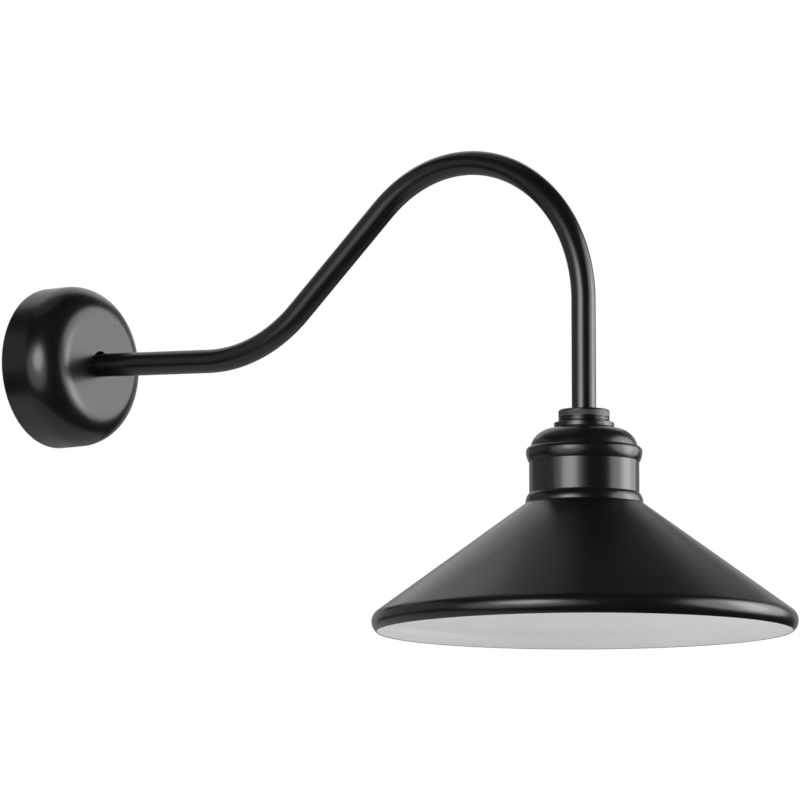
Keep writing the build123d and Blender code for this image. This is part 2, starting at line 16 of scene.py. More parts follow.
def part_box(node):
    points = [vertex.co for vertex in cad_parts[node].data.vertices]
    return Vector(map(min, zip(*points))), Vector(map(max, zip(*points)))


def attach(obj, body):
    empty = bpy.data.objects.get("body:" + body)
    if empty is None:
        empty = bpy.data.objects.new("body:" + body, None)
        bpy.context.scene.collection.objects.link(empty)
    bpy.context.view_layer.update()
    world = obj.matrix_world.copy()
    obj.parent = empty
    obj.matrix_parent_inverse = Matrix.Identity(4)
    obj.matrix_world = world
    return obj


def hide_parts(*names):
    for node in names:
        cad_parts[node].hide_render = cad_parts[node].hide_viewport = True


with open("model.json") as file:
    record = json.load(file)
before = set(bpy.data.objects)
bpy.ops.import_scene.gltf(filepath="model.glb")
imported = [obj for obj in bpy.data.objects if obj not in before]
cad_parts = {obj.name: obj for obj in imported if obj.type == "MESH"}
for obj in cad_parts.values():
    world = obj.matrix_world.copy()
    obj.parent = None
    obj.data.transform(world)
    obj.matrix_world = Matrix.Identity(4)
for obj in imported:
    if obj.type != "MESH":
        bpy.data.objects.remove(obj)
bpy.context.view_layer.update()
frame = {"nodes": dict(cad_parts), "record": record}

MM = 0.001
print("solids in the frame:", len(frame["nodes"]))

# %% [markdown]
# ## Camera
# The photograph was taken from the left and a little below, with a long lens: the shade's mouth shows as
# a thin white ellipse. The place was found by fitting the arm, the canopy and the lip of the shade to the
# photograph, so the script only has to set it.

# %% Camera
AZIMUTH = radians(-52.175)
ELEVATION = radians(-6.814)
ROLL = radians(-0.087)
CAMERA_PLACE = (-4.6464, -3.9669, -0.7554)
PHOTO_WIDTH = 800
FOCAL_PIXELS = 7500


def facing(azimuth, elevation):
    """The turn of a camera or lamp that looks at the lantern: azimuth 0 looks along +Y."""
    return Matrix.Rotation(azimuth, 4, "Z") @ Matrix.Rotation(pi / 2 - elevation, 4, "X")


lens = bpy.data.cameras.new("photo_camera")
lens.sensor_width = 36.0
lens.lens = lens.sensor_width * FOCAL_PIXELS / PHOTO_WIDTH
lens.clip_end = 60.0
camera = bpy.data.objects.new("photo_camera", lens)
camera.matrix_world = (
    Matrix.Translation(CAMERA_PLACE)
    @ facing(AZIMUTH, ELEVATION)
    @ Matrix.Rotation(ROLL, 4, "Z")
)
bpy.context.scene.collection.objects.link(camera)
bpy.context.scene.camera = camera
bpy.context.scene.view_settings.view_transform = "Standard"
print("lens", round(lens.lens, 1), "mm")

# %% [markdown]
# ## Light
# A black satin coat is drawn by what it mirrors, so the lamps are large oval soft boxes set where the
# highlights ask for them: one left of the camera and a stronger one on the right, each with a hotter
# middle, because the bands on the neck are brightest along their centres. Weaker ones at the side and
# behind draw the edges and the slope of the cone. One above lights the top of the tube, and a wide card
# below lights its underside and the white inside. Each is placed by its angles beside and above the camera.

# %% Soft boxes
LANTERN = Vector((0.0, -0.35, -0.1))
LAMP_DISTANCE = 2.6


def soft_box(name, beside, above, size, power, distance=LAMP_DISTANCE):
    """An oval lamp that faces the lantern, at angles in degrees from the camera's direction."""
    lamp = bpy.data.lights.new(name, "AREA")
    lamp.shape = "ELLIPSE"
    lamp.size, lamp.size_y = size
    lamp.energy = power
    piece = bpy.data.objects.new(name, lamp)
    turn = facing(AZIMUTH + radians(beside), radians(above))
    piece.matrix_world = Matrix.Translation(LANTERN) @ turn @ Matrix.Translation((0, 0, distance))
    piece.visible_camera = False
    bpy.context.scene.collection.objects.link(piece)


soft_box("left_soft_box", -33, -2, (3.4, 3.0), 27)
soft_box("left_hot_centre", -28, 8, (1.5, 1.4), 21)
soft_box("right_soft_box", 93, 10, (4.1, 3.0), 74)
soft_box("right_hot_centre", 89, 6, (0.5, 0.8), 3.2, distance=1.14)
soft_box("side_soft_box", -108, 14, (4.2, 2.2), 5.5)
soft_box("rear_left_soft_box", -170, 41, (3.0, 2.0), 11)
soft_box("rear_right_soft_box", 158, 30, (2.2, 1.9), 2.2)
soft_box("rear_soft_box", 180, 5, (4.0, 1.8), 7)
soft_box("top_soft_box", -120, 68, (1.8, 1.8), 1.5)
soft_box("low_card", -145, -58, (3.0, 2.2), 6, distance=1.15)
print("soft boxes placed")

# %% [markdown]
# ## Nodes and colours
# Every node tree below is built with one small function: it adds a node, sets its own properties, and for
# each socket either sets a value or links the output that it is given. Colours are written as sRGB hex, as
# a colour picker shows them, and turned to the linear values that shaders need.

# %% Node and colour helpers
def add(tree, kind, sockets=None, **settings):
    """Add a node to a tree; a socket's entry is a value or the output that feeds it."""
    node = tree.nodes.new(kind)
    for name, value in settings.items():
        setattr(node, name, value)
    for name, value in (sockets or {}).items():
        if isinstance(value, bpy.types.NodeSocket):
            tree.links.new(value, node.inputs[name])
        else:
            node.inputs[name].default_value = value
    return node


def linear(code):
    """A hex colour such as #1c1c1d as linear red, green, blue and alpha."""
    parts = [int(code[i:i + 2], 16) / 255 for i in (1, 3, 5)]
    return [c / 12.92 if c <= 0.04045 else ((c + 0.055) / 1.055) ** 2.4 for c in parts] + [1.0]


print("pale grey is", [round(c, 3) for c in linear("#d8d8d6")])

# %% [markdown]
# ## Backdrop
# The photograph's backdrop is plain white. The camera sees the world at strength 1, which is white. Mirror
# and glass rays meet the same backdrop, but at a small part of its strength, because in the photograph the
# coat is dark wherever no lamp is mirrored in it. Diffuse rays get a soft even fill, which also lights the
# inside of the shade.

# %% World
FILL = 0.46
MIRRORED_BACKDROP = 0.025


def backdrop(tree, strength):
    """White light from all round."""
    return add(tree, "ShaderNodeBackground", {"Color": linear("#ffffff"), "Strength": strength}).outputs[0]


def either(tree, share, first, second):
    """The first shader, or by a share of 1 the second."""
    return add(tree, "ShaderNodeMixShader", {0: share, 1: first, 2: second}).outputs[0]


world = bpy.data.worlds.new("white_studio")
bpy.context.scene.world = world
world.use_nodes = True
sky = world.node_tree
sky.nodes.clear()
ray = add(sky, "ShaderNodeLightPath").outputs
shiny = add(
    sky, "ShaderNodeMath", {0: ray["Is Glossy Ray"], 1: ray["Is Transmission Ray"]},
    operation="ADD", use_clamp=True,
)
in_gloss = either(sky, shiny.outputs[0], backdrop(sky, FILL), backdrop(sky, MIRRORED_BACKDROP))
seen_sky = either(sky, ray["Is Camera Ray"], in_gloss, backdrop(sky, 1.0))
add(sky, "ShaderNodeOutputWorld", {"Surface": seen_sky})
print("backdrop: fill", FILL, "and mirrored", MIRRORED_BACKDROP)

# %% [markdown]
# ## Finishes
# A finish is a small node tree: a pattern sized in real millimetres varies a tone, a roughness or a relief,
# and one Principled shader ends it. Only the floor's paper, which has to fade out, ends in another way. The
# steps that several finishes share are functions.

# %% Finish helpers
def new_finish(name):
    """An empty material, its tree and the Object coordinates, which are metres on the lantern."""
    finish = bpy.data.materials.new(name)
    finish.use_nodes = True
    finish.node_tree.nodes.clear()
    return finish, finish.node_tree, add(finish.node_tree, "ShaderNodeTexCoord").outputs["Object"]


def noise(tree, place, size, detail=2.0):
    """Soft patches of a size in millimetres, from 0 to 1."""
    patches = add(tree, "ShaderNodeTexNoise", {"Vector": place, "Scale": 1 / (size * MM), "Detail": detail})
    return patches.outputs[0]


def two_tone(tree, share, first, second):
    """A colour between two hex colours."""
    mixed = add(tree, "ShaderNodeMix", {0: share, 6: linear(first), 7: linear(second)}, data_type="RGBA")
    return mixed.outputs[2]


def ranged(tree, share, low, high):
    """A value between two others that follows the usual span of a noise."""
    span = {"Value": share, "From Min": 0.3, "From Max": 0.7, "To Min": low, "To Max": high}
    return add(tree, "ShaderNodeMapRange", span).outputs[0]


def relief(tree, height, strength, depth):
    """Normals of a fine relief, with its depth in millimetres."""
    bump = add(tree, "ShaderNodeBump", {"Height": height, "Strength": strength, "Distance": depth * MM})
    return bump.outputs[0]


def surface(tree, sockets):
    """End a finish's tree in one Principled shader with these sockets."""
    shader = add(tree, "ShaderNodeBsdfPrincipled", sockets)
    add(tree, "ShaderNodeOutputMaterial", {"Surface": shader.outputs["BSDF"]})


# %% [markdown]
# ## Floor
# A sheet of backdrop paper lies well below the lantern and fades into the backdrop a few metres out, so
# that no horizon cuts through a view. The coat doesn't mirror it and the shade gets none of its light,
# since the photograph shows no floor in either.

# %% Floor
FLOOR_Z = -1.8
FLOOR_HALF = 9.0
FADE = (2.8, 7.0)  # metres out, where the paper begins to fade and where it has gone
PAPER_CLOUD = 500.0


def studio_paper():
    """Matte paper, nearly white with soft clouds, which fades to clear far out and is clear from below."""
    finish, tree, place = new_finish("studio_paper")
    tone = two_tone(tree, noise(tree, place, PAPER_CLOUD), "#e9e8e5", "#efeeec")
    paper = add(tree, "ShaderNodeBsdfDiffuse", {"Color": tone})
    clear = add(tree, "ShaderNodeBsdfTransparent")
    below = add(tree, "ShaderNodeNewGeometry").outputs["Backfacing"]
    out = add(tree, "ShaderNodeVectorMath", {0: place}, operation="LENGTH").outputs["Value"]
    fade = add(
        tree, "ShaderNodeMapRange", {"Value": out, "From Min": FADE[0], "From Max": FADE[1]},
        interpolation_type="SMOOTHSTEP",
    )
    hidden = add(tree, "ShaderNodeMath", {0: below, 1: fade.outputs[0]}, operation="MAXIMUM")
    seen = either(tree, hidden.outputs[0], paper.outputs[0], clear.outputs[0])
    add(tree, "ShaderNodeOutputMaterial", {"Surface": seen})
    return finish


floor_mesh = bpy.data.meshes.new("floor")
corners = [(x * FLOOR_HALF, y * FLOOR_HALF, FLOOR_Z) for x, y in ((-1, -1), (1, -1), (1, 1), (-1, 1))]
floor_mesh.from_pydata(corners, [], [(0, 1, 2, 3)])
floor_mesh.materials.append(studio_paper())
floor = bpy.data.objects.new("floor", floor_mesh)
floor.visible_glossy = False
floor.visible_diffuse = False
bpy.context.scene.collection.objects.link(floor)
print("floor at", FLOOR_Z, "m")

# %% [markdown]
# ## Powder coat and enamel
# The outside is powder coat: a dry powder that is charged, sprayed and melted into a thick satin skin. It
# flows out almost flat, with a faint orange peel of waves a millimetre or two long, and it mirrors lamps as
# soft bands. The peel is kept shallow, since at the photograph's scale the highlights are smooth. The
# inside of the shade is white baked enamel, flatter and with a softer sheen.

# %% Coats
COAT_IOR = 1.65


def powder_coat():
    """Satin black: lamps show in it as soft bands, and close up it has a faint orange peel."""
    finish, tree, place = new_finish("satin_black_powder_coat")
    cloud = noise(tree, place, 40, detail=3.0)
    surface(tree, {
        "Base Color": two_tone(tree, cloud, "#090909", "#0d0d0e"),
        "Roughness": ranged(tree, cloud, 0.24, 0.28),
        "IOR": COAT_IOR,
        "Normal": relief(tree, noise(tree, place, 1.8, detail=1.0), 0.2, 0.02),
    })
    return finish


def white_enamel():
    """An even white with a soft sheen."""
    finish, tree, place = new_finish("white_baked_enamel")
    surface(tree, {
        "Base Color": two_tone(tree, noise(tree, place, 60), "#f1f1f1", "#f5f5f5"),
        "Roughness": 0.38,
        "Normal": relief(tree, noise(tree, place, 3), 0.15, 0.02),
    })
    return finish


BLACK = powder_coat()
WHITE = white_enamel()
print("coats:", BLACK.name, WHITE.name)

# %% [markdown]
# ## Sections
# Most of the lantern is round: spun, drawn or turned on a lathe. Each such piece is drawn as half of its
# section, in millimetres, and swept round an axis. A section is a list of corners, each with the radius
# that eases it, because no pressed or turned edge is perfectly sharp, and an eased edge catches the light.

# %% Section helpers
ARC_STEP = 6.0


def arc(centre, first, last):
    """Points round a centre, the short way from one spoke to another."""
    start = atan2(first.y, first.x)
    turn = (atan2(last.y, last.x) - start + pi) % tau - pi
    steps = max(2, ceil(degrees(abs(turn)) / ARC_STEP))
    spokes = [start + turn * step / steps for step in range(steps + 1)]
    return [centre + first.length * Vector((cos(a), sin(a))) for a in spokes]


def eased(*corners):
    """Points of an open line through corners (radius, height, easing), with an arc where one is eased."""
    points = []
    for index, (radius, height, easing) in enumerate(corners):
        corner = Vector((radius, height))
        if not easing:
            points.append(corner)
            continue
        back = (Vector(corners[index - 1][:2]) - corner).normalized()
        on = (Vector(corners[index + 1][:2]) - corner).normalized()
        half_turn = acos(max(-1.0, min(1.0, back.dot(on)))) / 2
        centre = corner + (back + on).normalized() * easing / sin(half_turn)
        first = corner + back * easing / tan(half_turn) - centre
        last = corner + on * easing / tan(half_turn) - centre
        points += arc(centre, first, last)
    return [p for i, p in enumerate(points) if i == 0 or (p - points[i - 1]).length > 1e-4]


def sheet(outside, thickness):
    """Closed section of a sheet: its outside line, then back along the line one thickness to its right."""
    inside = []
    for index, point in enumerate(outside):
        before = outside[max(index - 1, 0)]
        after = outside[min(index + 1, len(outside) - 1)]
        along = (after - before).normalized()
        inside.append(point + thickness * Vector((along.y, -along.x)))
    return outside + inside[::-1]


print("a quarter round has", len(eased((0, 0, 0), (5, 0, 2), (5, 5, 0))), "points")

# %% [markdown]
# ## Lathe
# A closed section swept round an axis gives a closed skin with no seam. The shade, cap and rings turn
# round the upright axis through the shade, and the canopy round the axis square to the wall. The frame
# gives both: the middle and the lip of the shade's solid, and the wall plane.

# %% Lathe helpers
shade_low, shade_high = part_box("shade")
AXIS_Y = (shade_low[1] + shade_high[1]) / 2
LIP_Z = shade_low[2]


def over_lip(across, deep, height):
    """A place by its height above the lip of the shade."""
    return across, AXIS_Y + deep, LIP_Z + height


def off_wall(across, up, out):
    """A place by its distance out of the wall."""
    return across, -out, up


def smooth(mesh, sharp=32.0):
    """Shade smooth, except over edges sharper than an angle in degrees."""
    mesh.polygons.foreach_set("use_smooth", [True] * len(mesh.polygons))
    mesh.set_sharp_from_angle(angle=radians(sharp))


def new_piece(name, mesh, *finishes):
    """An object at the origin that holds a mesh and its finishes."""
    for finish in finishes:
        mesh.materials.append(finish)
    piece = bpy.data.objects.new(name, mesh)
    bpy.context.scene.collection.objects.link(piece)
    return piece


def outwards(mesh):
    """Turn every face of a closed mesh to the outside."""
    shell = bmesh.new()
    shell.from_mesh(mesh)
    bmesh.ops.recalc_face_normals(shell, faces=shell.faces)
    shell.to_mesh(mesh)
    shell.free()


def lathe(name, section, place, turns, *finishes, second_from=None, rolled=None):
    """Sweep a closed section round an axis; from one of its points on, faces take the second finish.

    A rolled thread is a function that gives each point its own radius.
    """
    count = len(section)
    points = []
    faces = []
    for turn in range(turns):
        angle = tau * turn / turns
        here = turn * count
        there = (turn + 1) % turns * count
        for step, (radius, height) in enumerate(section):
            radius = rolled(radius, height, angle) if rolled else radius
            points.append(place(radius * cos(angle) * MM, radius * sin(angle) * MM, height * MM))
            follow = (step + 1) % count
            faces.append((here + step, here + follow, there + follow, there + step))
    mesh = bpy.data.meshes.new(name)
    mesh.from_pydata(points, [], faces)
    if second_from is not None:
        finish_of = [int(face % count >= second_from) for face in range(len(faces))]
        mesh.polygons.foreach_set("material_index", finish_of)
    outwards(mesh)
    smooth(mesh)
    return new_piece(name, mesh, *finishes)


BODY_OF = {node: body for body, nodes in frame["record"]["behaviour"]["bodies"].items() for node in nodes}


def stands_for(piece, node):
    """The piece takes the place of a solid: it moves with its body, and the solid is hidden."""
    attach(piece, BODY_OF[node])
    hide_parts(node)
    print(piece.name, "stands for", node, "with", len(piece.data.polygons), "faces")


# %% [markdown]
# ## Shade
# The shade is spun from one disc of sheet steel: a flange that is clamped under the cap, a straight neck, a
# rounded shoulder, a flat cone and a rim rolled inwards. One line gives its outside and the sheet's
# thickness gives the inside, so the creases show on both sides as they do on a spun shade. The inner half
# of the section takes the enamel. Coat and enamel meet on the cut edge, where the coat shows as a fine dark
# line.

# %% Shade
SHEET = 1.0
FLANGE_HOLE_R = 27.0
NECK_R = 42.7
NECK_ROUND = 2.5
NECK_FOOT_H = 107.4
SHOULDER_R = 45.6
SHOULDER_H = 104.2
SHOULDER_ROUND = 10.2
CREASE = 0.9
RIM_ROUND = 9.6
RIM_H = 7.77
CONE_FACES_UP = radians(54)

shade_r = (shade_high[0] - shade_low[0]) / 2 / MM
neck_top = (shade_high[2] - shade_low[2]) / MM
rim_middle = shade_r - RIM_ROUND
rim_corner = rim_middle + RIM_ROUND / cos(CONE_FACES_UP)
lip_r = rim_middle + RIM_ROUND * cos(CONE_FACES_UP)
cone_foot = RIM_H + (rim_corner - SHOULDER_R) / tan(CONE_FACES_UP)
shade_line = eased(
    (FLANGE_HOLE_R, neck_top, 0),
    (NECK_R, neck_top, NECK_ROUND),
    (NECK_R, NECK_FOOT_H, CREASE),
    (SHOULDER_R, SHOULDER_H, SHOULDER_ROUND),
    (SHOULDER_R, cone_foot, CREASE),
    (rim_corner, RIM_H, RIM_ROUND),
    (lip_r, 0.0, 0),
)
shade_section = sheet(shade_line, SHEET)
edge = len(shade_line)
shade_section.insert(edge, (shade_section[edge - 1] + shade_section[edge]) / 2)
shade = lathe("shade_spun", shade_section, over_lip, 256, BLACK, WHITE, second_from=edge)
stands_for(shade, "shade")

# %% [markdown]
# ## Cap, flange washer and ring
# The cap is a casting: a dome whose skirt swells into a bead and slips over the shade's neck. On it lie a
# washer with a sloped edge and a hand ring with a lip, a groove and a knurled band. All three are turned
# sections. The bead is two arcs that meet upright at its widest place: a tight one up to the crease under
# the dome, and a slack one down to its foot.

# %% Cap
BORE = 8.3


def swell(end, radius, height):
    """Points of the arc from the widest place of a bead, where it runs upright, to one of its ends."""
    inset, rise = radius - end.x, end.y - height
    size = (inset * inset + rise * rise) / (2 * inset)
    centre = Vector((radius - size, height))
    return arc(centre, Vector((size, 0)), end - centre)


DOME_R = 42.0
DOME_TOP = 157.5
DOME_ROUND = 17.5
CREASE_H = 143.2
BEAD_R = 45.15
BEAD_H = 139.6
SKIRT_R = 42.9
SKIRT_H = 132.0
SKIRT_EDGE = 0.4  # the skirt's thickness at its foot
CEILING_R = 40.5
CEILING_H = 156.0
CEILING_ROUND = 16.0

dome = eased((BORE, DOME_TOP, 0), (DOME_R, DOME_TOP, DOME_ROUND), (DOME_R, DOME_TOP - DOME_ROUND, 0))
dome = [point for point in dome if point.y > CREASE_H]
skirt_foot = Vector((SKIRT_R + SKIRT_EDGE, SKIRT_H))
bead = swell(dome[-1], BEAD_R, BEAD_H)[::-1] + swell(skirt_foot, BEAD_R, BEAD_H)
inside = eased(
    (SKIRT_R, SKIRT_H, 0),
    (SKIRT_R, neck_top, 0),
    (CEILING_R, neck_top, 0),
    (CEILING_R, CEILING_H, CEILING_ROUND),
    (BORE, CEILING_H, 0),
)
cap = lathe("neck_cap_cast", dome + bead[1:] + inside, over_lip, 160, BLACK)
stands_for(cap, "neck_cap")

# %% Washer
WASHER_R = 23.4
WASHER_H = (158.3, 163.1)
WASHER_EDGE_H = 161.9
SLOPE_FOOT = (22.8, 162.2)  # radius and height
SLOPE_TOP_R = 19.7

washer_section = eased(
    (BORE, WASHER_H[0], 0),
    (WASHER_R, WASHER_H[0], 0.4),
    (WASHER_R, WASHER_EDGE_H, 0.5),
    (*SLOPE_FOOT, 0.4),
    (SLOPE_TOP_R, WASHER_H[1], 0.2),
    (BORE, WASHER_H[1], 0),
)
washer = lathe("flange_washer_turned", washer_section, over_lip, 128, BLACK)
stands_for(washer, "flange_washer")

# %% Ring
RING_R = 19.9
RING_GROOVE_R = 19.4
RING_TOP_R = 18.9
RING_FOOT = 163.13  # a hair above the washer, so that the two never cut into each other
RING_TOP = 172.2
FOOT_GROOVE_H = 163.7
RING_LIP_H = (163.9, 165.2)
GROOVE_H = (165.5, 165.9)
LOWER_BORDER_H = (166.0, 166.5)
KNURL_H = (166.6, 170.7)
UPPER_BORDER_H = (170.9, 171.3)
KNURL_DEPTH = 0.2
KNURL_ROOT_R = RING_R - KNURL_DEPTH
THREAD_BORE = 8.0
HOLLOW = (10.0, 165.1)  # radius and floor of the hollow that takes the tube's end

ring_section = eased(
    (THREAD_BORE, RING_FOOT, 0),
    (RING_GROOVE_R, RING_FOOT, 0.2),
    (RING_GROOVE_R, FOOT_GROOVE_H, 0.15),
    (RING_R, RING_LIP_H[0], 0.5),
    (RING_R, RING_LIP_H[1], 0.5),
    (RING_GROOVE_R, GROOVE_H[0], 0.15),
    (RING_GROOVE_R, GROOVE_H[1], 0.1),
    (RING_R, LOWER_BORDER_H[0], 0.3),
    (RING_R, LOWER_BORDER_H[1], 0.1),
    (KNURL_ROOT_R, KNURL_H[0], 0.1),
    (KNURL_ROOT_R, KNURL_H[1], 0.1),
    (RING_R, UPPER_BORDER_H[0], 0.1),
    (RING_R, UPPER_BORDER_H[1], 0.3),
    (RING_TOP_R, RING_TOP, 0.4),
    (HOLLOW[0], RING_TOP, 0.3),
    (*HOLLOW, 0),
    (THREAD_BORE, HOLLOW[1], 0),
)
ring = lathe("lock_ring_turned", ring_section, over_lip, 128, BLACK)
stands_for(ring, "lock_ring")

# %% [markdown]
# ## Knurl
# A knurl is rolled into the ring by two hardened wheels and leaves small pyramids in crossed rows, so that
# fingers can grip it. Hundreds of equal teeth are a job for Geometry Nodes: the tree lays points row by row
# round a drum, each row half a tooth on from the last, and sets a four-sided cone on each. It also stores
# how high each point stands on its tooth, and the finish paints the crests grey: partly the wear of hands,
# partly a painted highlight where light would catch the tips.

# %% Tree helpers
def new_tree(name, **inputs):
    """A tree that makes geometry, and the sockets of its named inputs, given with their kinds."""
    tree = bpy.data.node_groups.new(name, "GeometryNodeTree")
    for label, kind in inputs.items():
        tree.interface.new_socket(label, in_out="INPUT", socket_type="NodeSocket" + kind)
    tree.interface.new_socket("Geometry", in_out="OUTPUT", socket_type="NodeSocketGeometry")
    return tree, add(tree, "NodeGroupInput").outputs


def end_tree(tree, geometry, finish):
    """End a tree: make every instance real and give the result its finish."""
    real = add(tree, "GeometryNodeRealizeInstances", {"Geometry": geometry})
    coated = add(tree, "GeometryNodeSetMaterial", {"Geometry": real.outputs[0], "Material": finish})
    add(tree, "NodeGroupOutput", {"Geometry": coated.outputs[0]})
    return tree


def keep_result(piece, modifier):
    """Make a modifier's result the piece's own mesh."""
    graph = bpy.context.evaluated_depsgraph_get()
    result = bpy.data.meshes.new_from_object(piece.evaluated_get(graph))
    piece.modifiers.remove(modifier)
    piece.data = result


def run_tree(piece, tree, **values):
    """Run a tree on a piece with these inputs and keep the result as a plain mesh."""
    modifier = piece.modifiers.new(tree.name, "NODES")
    modifier.node_group = tree
    for item in tree.interface.items_tree:
        if item.name in values:
            modifier[item.identifier] = values[item.name]
    keep_result(piece, modifier)


# %% Knurl tree
def knurl_tree():
    """Rows of small pyramids round a drum."""
    tree, given = new_tree(
        "knurled_band", Radius="Float", Foot="Float", Height="Float", Depth="Float",
        Teeth="Int", Rows="Int", Finish="Material",
    )
    index = add(tree, "GeometryNodeInputIndex").outputs[0]

    def work(operation, a, b=0.0):
        return add(tree, "ShaderNodeMath", {0: a, 1: b}, operation=operation).outputs[0]

    row = work("FLOOR", work("DIVIDE", index, given["Teeth"]))
    shifted = work("ADD", index, work("MULTIPLY", row, 0.5))
    angle = work("MULTIPLY", work("DIVIDE", shifted, given["Teeth"]), tau)
    step = work("DIVIDE", given["Height"], given["Rows"])
    height = work("ADD", given["Foot"], work("MULTIPLY", step, work("ADD", row, 0.5)))
    across = work("MULTIPLY", given["Radius"], work("COSINE", angle))
    deep = work("MULTIPLY", given["Radius"], work("SINE", angle))
    spot = add(tree, "ShaderNodeCombineXYZ", {0: across, 1: deep, 2: height})
    lean = add(tree, "ShaderNodeCombineXYZ", {1: pi / 2, 2: angle})
    turn = add(tree, "FunctionNodeEulerToRotation", {0: lean.outputs[0]})
    tooth = add(
        tree, "GeometryNodeMeshCone",
        {"Vertices": 4, "Radius Top": 0.0, "Radius Bottom": step, "Depth": given["Depth"]},
    )
    position = add(tree, "GeometryNodeInputPosition").outputs[0]
    rise = add(tree, "ShaderNodeSeparateXYZ", {0: position}).outputs[2]
    crested = add(tree, "GeometryNodeStoreNamedAttribute", {
        "Geometry": tooth.outputs["Mesh"], "Name": "crest", "Value": work("DIVIDE", rise, given["Depth"]),
    }, data_type="FLOAT", domain="POINT")
    points = add(tree, "GeometryNodePoints", {
        "Count": work("MULTIPLY", given["Teeth"], given["Rows"]), "Position": spot.outputs[0],
    })
    teeth = add(tree, "GeometryNodeInstanceOnPoints", {
        "Points": points.outputs[0], "Instance": crested.outputs[0], "Rotation": turn.outputs[0],
    })
    return end_tree(tree, teeth.outputs[0], given["Finish"])


def rubbed_and_highlit_coat():
    """The coat on the knurl: black between the teeth, grey on the crests as rubbed wear and painted
    highlight.
    """
    finish, tree, _ = new_finish("rubbed_and_highlit_black_coat")
    crest = add(tree, "ShaderNodeAttribute", attribute_name="crest").outputs["Fac"]
    # The crests turn grey: partly wear from hands, partly a painted highlight on the tips.
    worn_and_highlit = add(tree, "ShaderNodeMapRange", {"Value": crest, "From Min": 0.3, "From Max": 0.8})
    surface(tree, {
        "Base Color": two_tone(tree, worn_and_highlit.outputs[0], "#0b0b0c", "#666668"),
        "Roughness": 0.3,
        "IOR": COAT_IOR,
    })
    return finish


# %% Knurl
KNURL_ROWS = 4
knurl_height = KNURL_H[1] - KNURL_H[0]
row_step = knurl_height / KNURL_ROWS
teeth_round = round(tau * RING_R / (2 * row_step))
knurl = new_piece("lock_ring_knurl", bpy.data.meshes.new("lock_ring_knurl"))
run_tree(
    knurl, knurl_tree(), Radius=KNURL_ROOT_R * MM, Foot=KNURL_H[0] * MM, Height=knurl_height * MM,
    Depth=KNURL_DEPTH * MM, Teeth=teeth_round, Rows=KNURL_ROWS, Finish=rubbed_and_highlit_coat(),
)
knurl.data.transform(Matrix.Translation(over_lip(0, 0, 0)))
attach(knurl, BODY_OF["lock_ring"])
print(teeth_round * KNURL_ROWS, "teeth,", len(knurl.data.polygons), "faces")

# %% [markdown]
# ## Canopy
# The canopy is a deep-drawn steel cup with a large round at its front, and it hides the outlet box. It is a
# sheet section again, turned round the axis square to the wall. Two small set screws hold it, at its top
# and bottom, and a drill through both sides makes their holes.

# %% Canopy
def drilled(piece, cutter):
    """Cut a shape out of a piece and throw the cutter away."""
    cut = piece.modifiers.new("drill", "BOOLEAN")
    cut.object = cutter
    cut.solver = "EXACT"
    keep_result(piece, cut)
    bpy.data.objects.remove(cutter)
    smooth(piece.data)


def bar(radius, length, place):
    """A round bar along Z, moved to a place."""
    shell = bmesh.new()
    bmesh.ops.create_cone(
        shell, cap_ends=True, segments=48, radius1=radius, radius2=radius, depth=length,
        matrix=Matrix.Translation(place),
    )
    mesh = bpy.data.meshes.new("bar")
    shell.to_mesh(mesh)
    shell.free()
    return new_piece("bar", mesh)


CANOPY_R = 65.5
CANOPY_DEPTH = 51.0
CANOPY_BACK = 1.5
CANOPY_ROUND = 28.0
CANOPY_HOLE_R = 10.6
SET_SCREW_HOLE_R = 2.25
canopy_line = eased(
    (CANOPY_HOLE_R, CANOPY_DEPTH, 0),
    (CANOPY_R, CANOPY_DEPTH, CANOPY_ROUND),
    (CANOPY_R, CANOPY_BACK, 0),
)
canopy = lathe("canopy_drawn", sheet(canopy_line, SHEET), off_wall, 192, BLACK)
screw_low, screw_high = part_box("canopy_set_screws")
screw_y = (screw_low[1] + screw_high[1]) / 2
drilled(canopy, bar(SET_SCREW_HOLE_R * MM, 3 * CANOPY_R * MM, (0, screw_y, 0)))
stands_for(canopy, "canopy")

# %% [markdown]
# ## Arm
# The arm is one steel tube bent on a machine: straight out of the canopy with a slight dip, a bend up, a
# straight ramp and a long bend down into the ring. A tube that follows a path is a job for Geometry Nodes:
# the tree sweeps a circle along the path, thickens the skin inwards and closes both ends.

# %% Arm path
DIP = radians(2.8)
RAMP = radians(41.2)
LOW_BEND_R = 132.0
RAMP_LENGTH = 114.0
TOP_BEND_R = 118.5
DIP_START = 20.0
DIP_LENGTH = 20.0
BEND_STEP = radians(1.5)


def bent_path(out, up, heading, moves):
    """Points of straight runs and arcs: a move is a length and 0, or a radius and a turn in radians."""
    point = Vector((out, up))
    points = [point]
    for size, turn in moves:
        if not turn:
            point = point + size * Vector((cos(heading), sin(heading)))
            points.append(point)
            continue
        side = 1 if turn > 0 else -1
        centre = point + side * size * Vector((-sin(heading), cos(heading)))
        steps = ceil(abs(turn) / BEND_STEP)
        for step in range(1, steps + 1):
            angle = heading + turn * step / steps
            points.append(centre - side * size * Vector((-sin(angle), cos(angle))))
        heading += turn
        point = points[-1]
    return points


